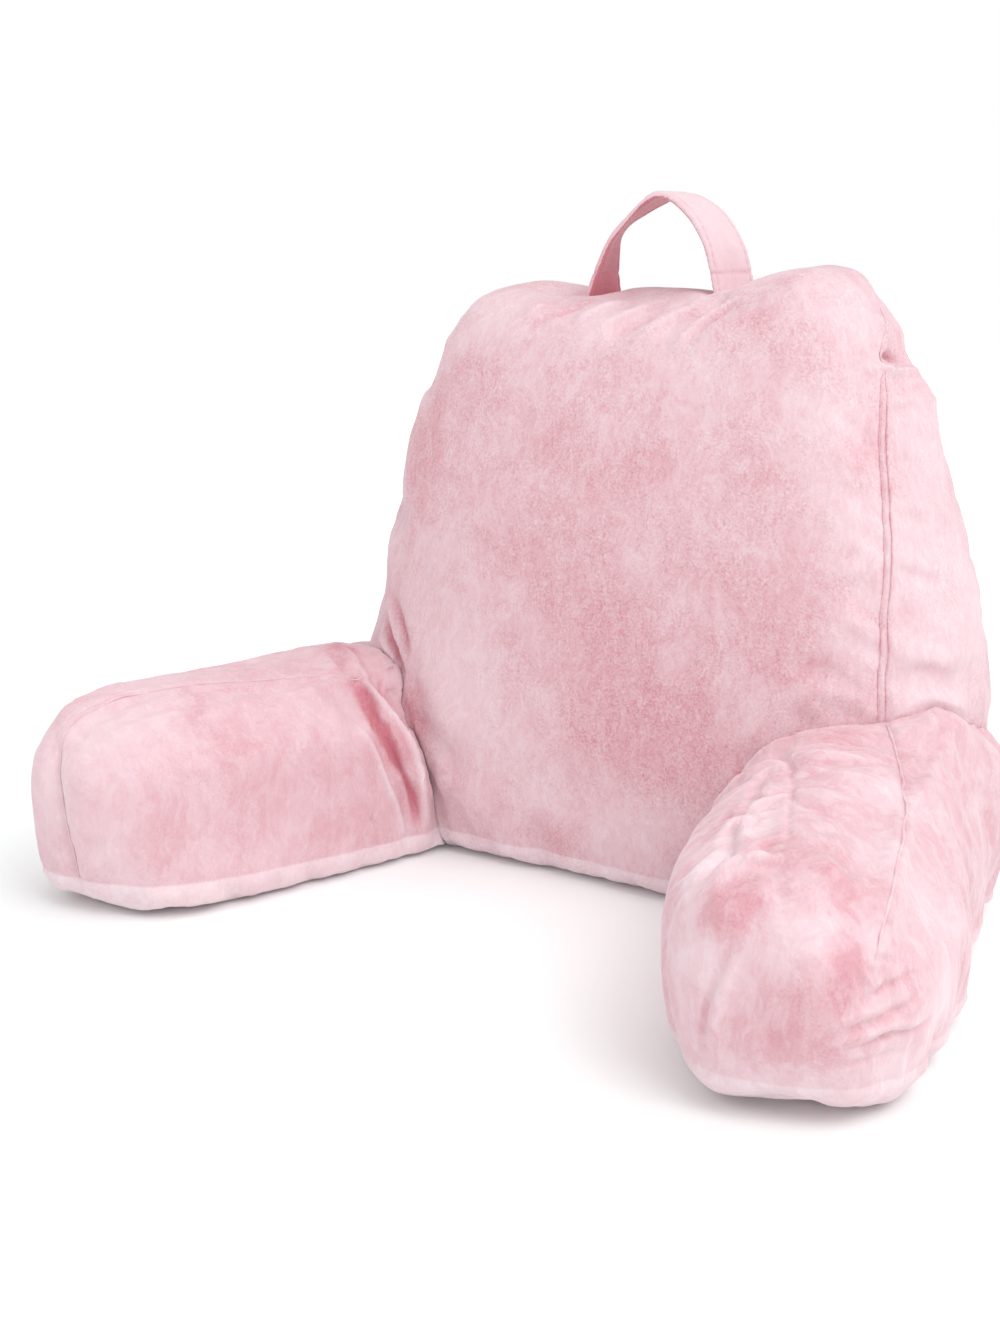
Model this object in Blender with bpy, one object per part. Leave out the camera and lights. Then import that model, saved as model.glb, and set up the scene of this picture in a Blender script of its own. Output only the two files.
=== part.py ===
# Reading pillow with arms: a tall filled back cushion, two filled arms splayed in front of it,
# and a flat carrying loop on top. Metres, +Z up, the sitter looks towards -Y.
import math

import bmesh
import bpy
from mathutils import Vector
from mathutils.bvhtree import BVHTree

FABRIC_COLOR = (0.83, 0.53, 0.58, 1.0)
FABRIC_ROUGHNESS = 0.85

GAP = 0.0005
SEAM_DEPTH = 0.0035
FLOOR_PRESS = 0.002
# Where the cutter's base lies below the floor, so that it cuts each arm right through.
CUTTER_DROP = 0.01
# How near a point of the unit box is to the box's edge, to a row of it, and to its neighbours.
NEAR_EDGE = 0.999
EDGE_SLACK = 0.01
SMALL_STEP = 0.01

# Back cushion: its outer size at each height.
BACK_HEIGHT = 0.452
BACK_CELLS = (32, 12, 32)
BACK_PLAN_ROUNDNESS = 4.2
BACK_TOP_ROUNDNESS = 4.8
BACK_BASE_ROUNDNESS = 14.0
BACK_FRONT_SEAM_ANGLES = (math.radians(37), math.radians(62))
BACK_REAR_SEAM_ANGLE = math.radians(135)
BACK_SECTIONS = (
    # height, half width, front y, rear y
    (0.00, 0.215, -0.004, 0.203),
    (0.10, 0.258, 0.008, 0.215),
    (0.20, 0.257, 0.034, 0.216),
    (0.30, 0.232, 0.045, 0.202),
    (0.38, 0.212, 0.050, 0.194),
    (0.46, 0.206, 0.058, 0.190),
)
FRONT_CROWN = 0.028
REAR_CROWN = 0.016
CROWN_FULLNESS = 0.7
FRONT_HOLLOW = 0.022
HOLLOW_FADE = 4
EAR_FADE = 6
CAP_SEAM_ROW = 0.75
TOP_EARS = (
    # x of the lobe's middle, half width, rise
    (-0.145, 0.055, 0.012),
    (0.148, 0.055, 0.030),
)
BACK_FOLDS = (
    # start, middle, end, half width, rise above the cloth (below it where negative)
    ((0.112, 0.081, 0.457), (0.090, 0.064, 0.433), (0.064, 0.051, 0.411), 0.010, 0.004),
    ((0.085, 0.085, 0.450), (0.062, 0.066, 0.430), (0.034, 0.050, 0.405), 0.010, -0.004),
    ((0.052, 0.071, 0.439), (0.029, 0.055, 0.418), (0.003, 0.045, 0.400), 0.010, 0.004),
    ((0.001, 0.074, 0.440), (-0.031, 0.053, 0.415), (-0.071, 0.043, 0.391), 0.010, 0.003),
    ((-0.035, 0.080, 0.445), (-0.052, 0.060, 0.425), (-0.085, 0.050, 0.402), 0.010, -0.003),
    ((-0.070, 0.100, 0.452), (-0.075, 0.072, 0.439), (-0.098, 0.058, 0.420), 0.010, 0.003),
    ((0.192, 0.085, 0.405), (0.200, 0.125, 0.408), (0.200, 0.170, 0.404), 0.012, -0.008),
    ((0.190, 0.095, 0.425), (0.192, 0.130, 0.428), (0.190, 0.165, 0.425), 0.012, 0.004),
    ((-0.213, 0.038, 0.200), (-0.205, 0.030, 0.186), (-0.190, 0.022, 0.172), 0.009, -0.005),
    ((-0.195, 0.024, 0.160), (-0.182, 0.016, 0.146), (-0.165, 0.010, 0.134), 0.009, -0.005),
    ((-0.216, 0.042, 0.262), (-0.212, 0.038, 0.246), (-0.200, 0.030, 0.232), 0.009, -0.003),
    ((-0.160, 0.005, 0.130), (-0.132, 0.000, 0.080), (-0.060, 0.000, 0.048), 0.014, 0.004),
    ((0.235, 0.055, 0.178), (0.262, 0.100, 0.178), (0.255, 0.170, 0.172), 0.012, -0.007),
)

# Arms: their middle line seen from above, and their size along it.
ARM_CELLS = (12, 28, 14)
ARM_SECTION_ROUNDNESS = 2.6
ARM_END_ROUNDNESS = 3.8
ARM_BASE_ROUNDNESS = 6.5
ARM_TOP_SEAM_ANGLE = math.radians(30)
ARM_BASE_SEAM_ANGLE = math.radians(129)
ARM_STATIONS = (
    # along, middle x, middle y, half width, height, lean of the top outward
    (-1.0, 0.180, 0.200, 0.086, 0.156, 0.012),
    (-0.5, 0.206, 0.085, 0.086, 0.155, 0.016),
    (0.0, 0.231, -0.035, 0.084, 0.155, 0.008),
    (0.5, 0.261, -0.151, 0.081, 0.158, 0.000),
    (1.0, 0.292, -0.271, 0.077, 0.161, -0.004),
)
ARM_ENDS = {
    # how far each arm's end lies outward and forward from that, its share of the width,
    # and how far its outer edge stands ahead of its middle
    "arm_left": (-0.014, 0.000, 0.92, 0.010),
    "arm_right": (0.014, 0.010, 1.02, 0.014),
}
ARM_FOLDS = {
    # start, middle, end, half width, rise above the cloth (below it where negative)
    "arm_left": (
        ((-0.176, -0.030, 0.140), (-0.153, -0.024, 0.079), (-0.141, -0.008, 0.016), 0.009, -0.011),
        ((-0.184, -0.056, 0.140), (-0.160, -0.048, 0.083), (-0.145, -0.012, 0.012), 0.010, 0.006),
        ((-0.190, -0.010, 0.150), (-0.160, -0.008, 0.100), (-0.140, 0.000, 0.040), 0.008, 0.004),
        ((-0.195, -0.075, 0.135), (-0.180, -0.078, 0.085), (-0.165, -0.060, 0.030), 0.011, -0.003),
    ),
    "arm_right": (
        ((0.160, -0.020, 0.075), (0.185, -0.030, 0.128), (0.215, -0.020, 0.155), 0.009, 0.006),
        ((0.165, -0.048, 0.075), (0.190, -0.052, 0.125), (0.250, -0.030, 0.160), 0.009, -0.007),
        ((0.172, -0.070, 0.080), (0.200, -0.075, 0.135), (0.262, -0.055, 0.158), 0.010, 0.005),
        ((0.182, -0.095, 0.085), (0.212, -0.098, 0.140), (0.270, -0.085, 0.157), 0.010, -0.004),
        ((0.268, -0.300, 0.118), (0.310, -0.278, 0.128), (0.345, -0.235, 0.118), 0.012, -0.003),
        ((0.340, -0.262, 0.085), (0.350, -0.225, 0.082), (0.350, -0.180, 0.078), 0.008, -0.004),
        ((0.338, -0.272, 0.060), (0.348, -0.230, 0.055), (0.349, -0.180, 0.050), 0.008, -0.004),
    ),
}
FOLD_STEPS = 16
FOLD_REACH = 3

# Carrying loop: its front and rear edges, from the left foot to the right one.
LOOP_EDGES = (
    # share of the way, front x, front height, rear x, rear height above the back
    (0.00, -0.058, 0.000, -0.057, 0.000),
    (0.18, -0.047, 0.021, -0.061, 0.024),
    (0.34, -0.029, 0.046, -0.052, 0.050),
    (0.50, 0.003, 0.071, -0.004, 0.072),
    (0.66, 0.031, 0.057, 0.030, 0.061),
    (0.82, 0.048, 0.030, 0.052, 0.034),
    (1.00, 0.058, 0.000, 0.064, 0.000),
)
LOOP_WIDTH = 0.052
LOOP_THICKNESS = 0.004
LOOP_Y = 0.125
LOOP_STEPS = 32
FOOT_PROBES = (-0.5, -0.25, 0.0, 0.25, 0.5)


def material(name, color):
    found = bpy.data.materials.new(name)
    found.use_nodes = True
    shader = found.node_tree.nodes["Principled BSDF"]
    shader.inputs["Base Color"].default_value = color
    shader.inputs["Roughness"].default_value = FABRIC_ROUGHNESS
    shader.inputs["Metallic"].default_value = 0.0
    return found


def read_along(table, at):
    """The table's columns at a place between its rows, on a smooth curve through them."""
    rows = [table[0]] + list(table) + [table[-1]]
    at = min(max(at, table[0][0]), table[-1][0])
    index = 1
    while index < len(table) - 1 and table[index][0] < at:
        index += 1
    before, low, high, after = rows[index - 1:index + 3]
    t = (at - low[0]) / (high[0] - low[0])
    values = []
    for a, b, c, d in zip(before[1:], low[1:], high[1:], after[1:]):
        values.append(b + 0.5 * t * (c - a + t * (2 * a - 5 * b + 4 * c - d + t * (3 * (b - c) + d - a))))
    return values


def cell_box(cells):
    """A closed box from -1 to 1 each way, divided into cells along X, Y and Z."""
    mesh = bmesh.new()
    bmesh.ops.create_cube(mesh, size=2.0)
    for axis, count in enumerate(cells):
        along = [
            edge
            for edge in mesh.edges
            if abs(edge.verts[0].co[axis] - edge.verts[1].co[axis]) > 1e-6
        ]
        bmesh.ops.subdivide_edges(mesh, edges=along, cuts=count - 1, use_grid_fill=True)
    return mesh


def finished(name, mesh, surface):
    bmesh.ops.recalc_face_normals(mesh, faces=mesh.faces)
    data = bpy.data.meshes.new(name)
    mesh.to_mesh(data)
    mesh.free()
    data.shade_smooth()
    data.materials.append(surface)
    made = bpy.data.objects.new(name, data)
    bpy.context.scene.collection.objects.link(made)
    return made


def fold_line(tree, start, middle, end):
    """Points of a fold, on a curve from its start past its middle to its end, laid on the surface."""
    points = []
    for step in range(FOLD_STEPS + 1):
        t = step / FOLD_STEPS
        bend = 2 * Vector(middle) - (Vector(start) + Vector(end)) / 2
        point = Vector(start) * (1 - t) ** 2 + bend * 2 * t * (1 - t) + Vector(end) * t ** 2
        points.append(tree.find_nearest(point)[0])
    return points


def press_folds(mesh, folds):
    """Raises or sinks the cloth along each fold, less towards its two ends."""
    mesh.normal_update()
    tree = BVHTree.FromBMesh(mesh)
    moves = [0.0] * len(mesh.verts)
    for start, middle, end, half_width, rise in folds:
        line = fold_line(tree, start, middle, end)
        for index, vertex in enumerate(mesh.verts):
            away, step = min(((vertex.co - point).length, at) for at, point in enumerate(line))
            if away < FOLD_REACH * half_width:
                fade = math.sin(math.pi * (step + 0.5) / (FOLD_STEPS + 1)) ** 0.5
                moves[index] += rise * fade * math.exp(-((away / half_width) ** 2))
    shift_along_normals(mesh, moves)


def shift_along_normals(mesh, moves):
    mesh.normal_update()
    targets = [vertex.co + vertex.normal * move for vertex, move in zip(mesh.verts, moves)]
    for vertex, target in zip(mesh.verts, targets):
        rests = vertex.co.z == 0.0
        vertex.co = target
        vertex.co.z = 0.0 if rests else max(target.z, 0.0)


def shape(mesh, place, on_seam, folds):
    """Moves the box's points to their places, then sinks its seams and makes its folds."""
    seams = [SEAM_DEPTH * on_seam(vertex.co) for vertex in mesh.verts]
    for vertex in mesh.verts:
        vertex.co = place(vertex.co)
    bmesh.ops.recalc_face_normals(mesh, faces=mesh.faces)
    press_folds(mesh, folds)
    shift_along_normals(mesh, [-depth for depth in seams])


def seam_angle(a, toward, first_seam, second_seam):
    """The angle round a section from its middle, with the box's two corners moved to the seams."""
    angle = abs(math.atan2(a, toward))
    places = (0.0, math.pi / 4, 3 * math.pi / 4, math.pi)
    seams = (0.0, first_seam, second_seam, math.pi)
    for low, high, from_angle, to_angle in zip(places, places[1:], seams, seams[1:]):
        if angle <= high:
            break
    return math.copysign(from_angle + (to_angle - from_angle) * (angle - low) / (high - low), a)


def rounded(a, b, power):
    """Brings a direction onto a square of half width 1 whose corners are rounded by the power."""
    size = (abs(a) ** power + abs(b) ** power) ** (1 / power)
    return a / size, b / size


def back_point(box_point):
    a, b, c = box_point
    ring = max(abs(a), abs(b))
    at_base, at_top = BACK_FRONT_SEAM_ANGLES
    front_seam = at_base + (at_top - at_base) * (c + 1) / 2
    angle = seam_angle(a, -b, front_seam, BACK_REAR_SEAM_ANGLE)
    a, b = rounded(math.sin(angle), -math.cos(angle), BACK_PLAN_ROUNDNESS)
    vertical = BACK_TOP_ROUNDNESS if c > 0 else BACK_BASE_ROUNDNESS
    size = (ring ** vertical + abs(c) ** vertical) ** (1 / vertical)
    across, deep, up = a * ring / size, b * ring / size, c / size
    rise = (up + 1) / 2
    height = BACK_HEIGHT * rise
    half, front, rear = read_along(BACK_SECTIONS, height)
    x = across * half
    y = (front + rear) / 2 + deep * (rear - front) / 2
    swell = (1 - across ** 2) * math.sin(math.pi * rise) ** CROWN_FULLNESS
    if deep < 0:
        y += deep * FRONT_CROWN * swell
        y -= deep * FRONT_HOLLOW * (1 - across ** 2) * (1 - rise) ** HOLLOW_FADE
    else:
        y += deep * REAR_CROWN * swell
    lobes = sum(lift * math.exp(-(((x - middle) / wide) ** 2)) for middle, wide, lift in TOP_EARS)
    height += lobes * max(up, 0) ** EAR_FADE
    return Vector((x, y, max(height - FLOOR_PRESS, 0.0)))


def on_back_seam(box_point):
    """Whether a panel edge runs here: each gusset's front and rear, the cap's sides and rear, the base."""
    a, b, c = box_point
    side, front, rear = abs(a) > NEAR_EDGE, b < -NEAR_EDGE, b > NEAR_EDGE
    return (
        (side and front and c < CAP_SEAM_ROW + EDGE_SLACK)
        or (side and abs(c - CAP_SEAM_ROW) < EDGE_SLACK)
        or (side and rear)
        or (rear and c > NEAR_EDGE)
        or (c < -NEAR_EDGE and (side or front or rear))
    )


def make_backrest(surface):
    mesh = cell_box(BACK_CELLS)
    shape(mesh, back_point, on_back_seam, BACK_FOLDS)
    bmesh.ops.triangulate(mesh, faces=mesh.faces)
    return finished("backrest", mesh, surface)


def arm_point(box_point, side, end):
    a, b, c = box_point
    ring = max(abs(a), abs(c))
    angle = seam_angle(a, c, ARM_TOP_SEAM_ANGLE, ARM_BASE_SEAM_ANGLE)
    upright = math.cos(angle)
    a, c = rounded(math.sin(angle), upright, ARM_SECTION_ROUNDNESS if upright > 0 else ARM_BASE_ROUNDNESS)
    size = (ring ** ARM_END_ROUNDNESS + abs(b) ** ARM_END_ROUNDNESS) ** (1 / ARM_END_ROUNDNESS)
    across, along, up = a * ring / size, b / size, c * ring / size
    x, y, half, height, lean = read_along(ARM_STATIONS, along)
    ahead = read_along(ARM_STATIONS, along + SMALL_STEP)
    behind = read_along(ARM_STATIONS, along - SMALL_STEP)
    direction = Vector((ahead[0] - behind[0], ahead[1] - behind[1])).normalized()
    end_out, end_ahead, end_width, end_turn = end
    shift = ((along + 1) / 2) ** 2
    outward = across * half * (1 + shift * (end_width - 1)) + lean * (up + 1) / 2
    x += shift * end_out - direction.y * outward
    y += direction.x * outward - shift * (end_ahead + end_turn * across)
    return Vector((side * x, y, max(height * (up + 1) / 2 - FLOOR_PRESS, 0.0)))


def on_arm_seam(box_point):
    """Whether a panel edge runs here: both sides of the strip over the top and the end, and the base."""
    a, b, c = box_point
    side, end = abs(a) > NEAR_EDGE, b > NEAR_EDGE
    return (side and (abs(c) > NEAR_EDGE or end)) or (end and c < -NEAR_EDGE)


def make_arm(name, side, surface, cutter):
    mesh = cell_box(ARM_CELLS)
    shape(mesh, lambda point: arm_point(point, side, ARM_ENDS[name]), on_arm_seam, ARM_FOLDS[name])
    arm = finished(name, mesh, surface)
    fit = arm.modifiers.new("fit_to_back", "BOOLEAN")
    fit.operation = "DIFFERENCE"
    fit.object = cutter
    return arm


def make_cutter(backrest):
    """The backrest's shape, larger by the gap, that each arm is fitted against."""
    mesh = bmesh.new()
    mesh.from_mesh(backrest.data)
    mesh.normal_update()
    moves = [vertex.normal * GAP for vertex in mesh.verts]
    for vertex, move in zip(mesh.verts, moves):
        vertex.co += move
        if vertex.co.z < GAP:
            vertex.co.z = -CUTTER_DROP
    data = bpy.data.meshes.new("back_cutter")
    mesh.to_mesh(data)
    mesh.free()
    cutter = bpy.data.objects.new("back_cutter", data)
    bpy.context.scene.collection.objects.link(cutter)
    cutter.hide_render = True
    cutter.display_type = "WIRE"
    return cutter


def make_handle(surface, backrest):
    """A flat band bent over into a loop, its two ends cut to the back's top."""
    mesh = bmesh.new()
    tree = BVHTree.FromPolygons(
        [vertex.co for vertex in backrest.data.vertices],
        [list(face.vertices) for face in backrest.data.polygons],
    )

    def top_at(x, y):
        return tree.ray_cast(Vector((x, y, 1.0)), Vector((0, 0, -1)))[0].z

    def edge_points(share):
        front_x, front_z, rear_x, rear_z = read_along(LOOP_EDGES, share)
        low = top_at(0.0, LOOP_Y)
        return (
            Vector((front_x, LOOP_Y - LOOP_WIDTH / 2, low + front_z)),
            Vector((rear_x, LOOP_Y + LOOP_WIDTH / 2, low + rear_z)),
        )

    rings = []
    for step in range(LOOP_STEPS + 1):
        share = step / LOOP_STEPS
        ahead = edge_points(share + SMALL_STEP)
        behind = edge_points(share - SMALL_STEP)
        edges = []
        for point, after, before in zip(edge_points(share), ahead, behind):
            run = after - before
            outward = Vector((-run.z, 0, run.x)).normalized() * LOOP_THICKNESS / 2
            edges.append((point + outward, point - outward))
        (front_outer, front_inner), (rear_outer, rear_inner) = edges
        ring = [front_outer, rear_outer, rear_inner, front_inner]
        if step in (0, LOOP_STEPS):
            under = [
                top_at(corner.x, LOOP_Y + probe * LOOP_WIDTH)
                for corner in ring
                for probe in FOOT_PROBES
            ]
            for corner in ring:
                corner.z = max(under) + GAP
        rings.append([mesh.verts.new(corner) for corner in ring])
    for ring, following in zip(rings, rings[1:]):
        for corner in range(4):
            beside = (corner + 1) % 4
            mesh.faces.new((ring[corner], ring[beside], following[beside], following[corner]))
    mesh.faces.new(rings[0])
    mesh.faces.new(rings[-1])
    return finished("handle", mesh, surface)


def stand_on_origin(pieces, guide):
    """Brings the middle of the whole pillow's base over the origin."""
    view = bpy.context.evaluated_depsgraph_get()
    corners = [Vector(corner) for piece in pieces for corner in piece.evaluated_get(view).bound_box]
    middle = [(min(c[axis] for c in corners) + max(c[axis] for c in corners)) / 2 for axis in (0, 1)]
    pillow = bpy.data.objects.new("pillow", None)
    bpy.context.scene.collection.objects.link(pillow)
    pillow.location = (-middle[0], -middle[1], 0.0)
    for piece in pieces + [guide]:
        piece.parent = pillow


def main():
    for thing in list(bpy.data.objects):
        bpy.data.objects.remove(thing)
    surface = material("plush", FABRIC_COLOR)
    backrest = make_backrest(surface)
    cutter = make_cutter(backrest)
    arm_left = make_arm("arm_left", -1, surface, cutter)
    arm_right = make_arm("arm_right", 1, surface, cutter)
    handle = make_handle(surface, backrest)
    stand_on_origin([backrest, arm_left, arm_right, handle], cutter)


main()
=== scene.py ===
# Dresses the reading pillow: plush covers over its filled cushions, a stitched loop and a pale studio.
import math
import random

import bmesh
import bpy
import numpy as np
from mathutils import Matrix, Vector
from mathutils.bvhtree import BVHTree
from mathutils.kdtree import KDTree


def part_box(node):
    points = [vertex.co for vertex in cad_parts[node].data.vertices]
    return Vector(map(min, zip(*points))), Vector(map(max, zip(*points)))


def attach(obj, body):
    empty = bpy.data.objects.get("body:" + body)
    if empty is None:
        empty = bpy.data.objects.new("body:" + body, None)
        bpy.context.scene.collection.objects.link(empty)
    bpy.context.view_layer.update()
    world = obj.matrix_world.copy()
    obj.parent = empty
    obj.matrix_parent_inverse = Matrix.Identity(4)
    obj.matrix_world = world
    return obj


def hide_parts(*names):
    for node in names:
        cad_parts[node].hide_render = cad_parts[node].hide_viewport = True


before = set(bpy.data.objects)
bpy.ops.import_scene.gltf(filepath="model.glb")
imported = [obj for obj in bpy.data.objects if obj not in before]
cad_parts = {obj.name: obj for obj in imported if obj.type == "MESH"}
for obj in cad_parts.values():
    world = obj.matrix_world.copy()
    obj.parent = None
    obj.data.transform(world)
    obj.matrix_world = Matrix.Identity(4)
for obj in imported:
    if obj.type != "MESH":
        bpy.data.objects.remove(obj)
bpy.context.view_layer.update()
scene = bpy.context.scene
print("frame loaded:", sorted(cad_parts))


def addObject(name, data):
    made = bpy.data.objects.new(name, data)
    scene.collection.objects.link(made)
    return made


def bakeModifiers(piece):
    view = bpy.context.evaluated_depsgraph_get()
    baked = bpy.data.meshes.new_from_object(piece.evaluated_get(view))
    old = piece.data
    piece.modifiers.clear()
    piece.data = baked
    bpy.data.meshes.remove(old)


def readVectors(rows, label):
    values = np.zeros(len(rows) * 3, np.float32)
    rows.foreach_get(label, values)
    return values.reshape(-1, 3).astype(float)


def readPoints(piece):
    return readVectors(piece.data.vertices, "co")


def readNormals(piece):
    return readVectors(piece.data.vertex_normals, "vector")


def writePoints(piece, points):
    piece.data.vertices.foreach_set("co", np.asarray(points, np.float32).ravel())
    piece.data.update()


def surfaceTree(piece):
    return BVHTree.FromPolygons(
        [vertex.co for vertex in piece.data.vertices],
        [list(face.vertices) for face in piece.data.polygons],
    )


def smoothLine(waypoints, step=0.002):
    # an even, smooth line in metres through a few given points in millimetres
    rows = [Vector([value / 1000 for value in point]) for point in waypoints]
    rows = [2 * rows[0] - rows[1]] + rows + [2 * rows[-1] - rows[-2]]
    line = []
    for before, low, high, after in zip(rows, rows[1:], rows[2:], rows[3:]):
        count = max(2, round((high - low).length / step))
        for index in range(count):
            t = index / count
            line.append(
                low + 0.5 * t * (high - before + t * (
                    2 * before - 5 * low + 4 * high - after + t * (3 * (low - high) + after - before)))
            )
    line.append(rows[-2])
    return line


def evened(rows, passes):
    # neighbours along a line averaged, its ends kept
    values = np.array(rows)
    for _ in range(passes):
        values[1:-1] = (values[:-2] + 2 * values[1:-1] + values[2:]) / 4
    return values


# passes that even a laid line's normals and heights, and how far it looks for its cover
laying = dict(normalPasses=12, heightPasses=3, above=0.025, deep=0.05)


def laidLine(tree, waypoints, step=0.002):
    # the line dropped onto a cover, with the cover's normal at each point
    line = smoothLine(waypoints, step)
    normals = evened([tree.find_nearest(point)[1] for point in line], laying["normalPasses"])
    normals = [Vector(normal).normalized() for normal in normals]
    heights = []
    for point, normal in zip(line, normals):
        hit = tree.ray_cast(point + normal * laying["above"], -normal, laying["deep"])[0]
        hit = hit if hit is not None else tree.find_nearest(point)[0]
        heights.append((hit - point).dot(normal))
    heights = evened(heights, laying["heightPasses"])
    return [point + normal * height for point, normal, height in zip(line, normals, heights)], normals


def nearLine(points, line, normals, reach):
    # the cover points in reach of the line, how far from it and along it they are, their side, its length
    finder = KDTree(len(line))
    for index, place in enumerate(line):
        finder.insert(place, index)
    finder.balance()
    along = np.concatenate([[0.0], np.cumsum([(b - a).length for a, b in zip(line, line[1:])])])
    low = np.min(np.array(line), axis=0) - reach
    high = np.max(np.array(line), axis=0) + reach
    inBox = np.nonzero(np.all((points > low) & (points < high), axis=1))[0]
    found = []
    for vertex in inBox:
        place, index, away = finder.find(points[vertex])
        if away < reach:
            ahead = line[min(index + 1, len(line) - 1)] - line[max(index - 1, 0)]
            side = ahead.cross(normals[index]).dot(Vector(points[vertex]) - place)
            found.append((vertex, away, along[index], math.copysign(1.0, side)))
    if not found:
        return None
    vertices, away, distance, side = (np.array(column) for column in zip(*found))
    return vertices.astype(int), away, distance, side, along[-1]


wavePace = (0.55, 1.6)
waveGain = 1.1


def waves(values, seed, count=7):
    # a smooth, uneven wave from -1 to 1 along a line: a few sines of unlike length
    draw = random.Random(seed)
    total = np.zeros_like(values)
    for _ in range(count):
        pace, start = draw.uniform(*wavePace), draw.uniform(0, 2 * math.pi)
        total += math.sqrt(1 / count) * np.sin(values * pace + start)
    return np.clip(total * waveGain, -1, 1)


# The tables of the form are in millimetres.
# Seams: the line of the sewn edge on its cover, and how much it gathers the cloth on its left and right.
seams = {
    "backrest": [
        dict(name="rightFront", gather=(0.1, 0.6), twin=2.8, at=[
            (180, 122, 395), (191, 101, 350), (199, 93, 310), (206, 86, 265), (210, 76, 224),
            (213, 69, 180), (214, 64, 145), (212, 58, 100)]),
        dict(name="rightCap", gather=(0.6, 0.6), at=[
            (150, 185, 452), (162, 165, 441), (173, 145, 424), (178, 130, 407), (180, 122, 395)]),
        dict(name="rightRear", gather=(0.5, 0.5), slack=True, at=[
            (150, 218, 450), (175, 222, 420), (195, 232, 360), (213, 238, 300), (226, 242, 230),
            (232, 243, 180)]),
        dict(name="leftRear", gather=(0.5, 0.5), slack=True, at=[
            (-175, 218, 450), (-200, 222, 420), (-220, 232, 360), (-238, 238, 300), (-251, 242, 230),
            (-257, 243, 180)]),
    ],
    "arm_left": [
        dict(name="innerTop", gather=(0.8, 0.8), at=[
            (-198, -2, 147), (-222, -32, 151), (-240, -85, 154), (-262, -132, 153), (-274, -168, 151),
            (-286, -200, 146), (-290, -228, 134), (-286, -244, 114), (-283, -247, 94), (-279, -247, 70),
            (-275, -245, 50), (-275, -238, 28)]),
    ],
    "arm_right": [
        dict(name="inner", gather=(0.9, 0.4), flush=True, at=[
            (177, -17, 141), (205, -60, 150), (226, -100, 153), (240, -130, 154), (254, -162, 153),
            (266, -187, 151), (274, -208, 148)]),
        dict(name="outer", gather=(0.6, 1), at=[
            (222, 56, 153), (253, 3, 151), (276, -40, 148), (293, -78, 145), (311, -124, 140),
            (326, -168, 133), (333, -191, 126), (337, -210, 115), (340, -221, 101)]),
    ],
}
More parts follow.
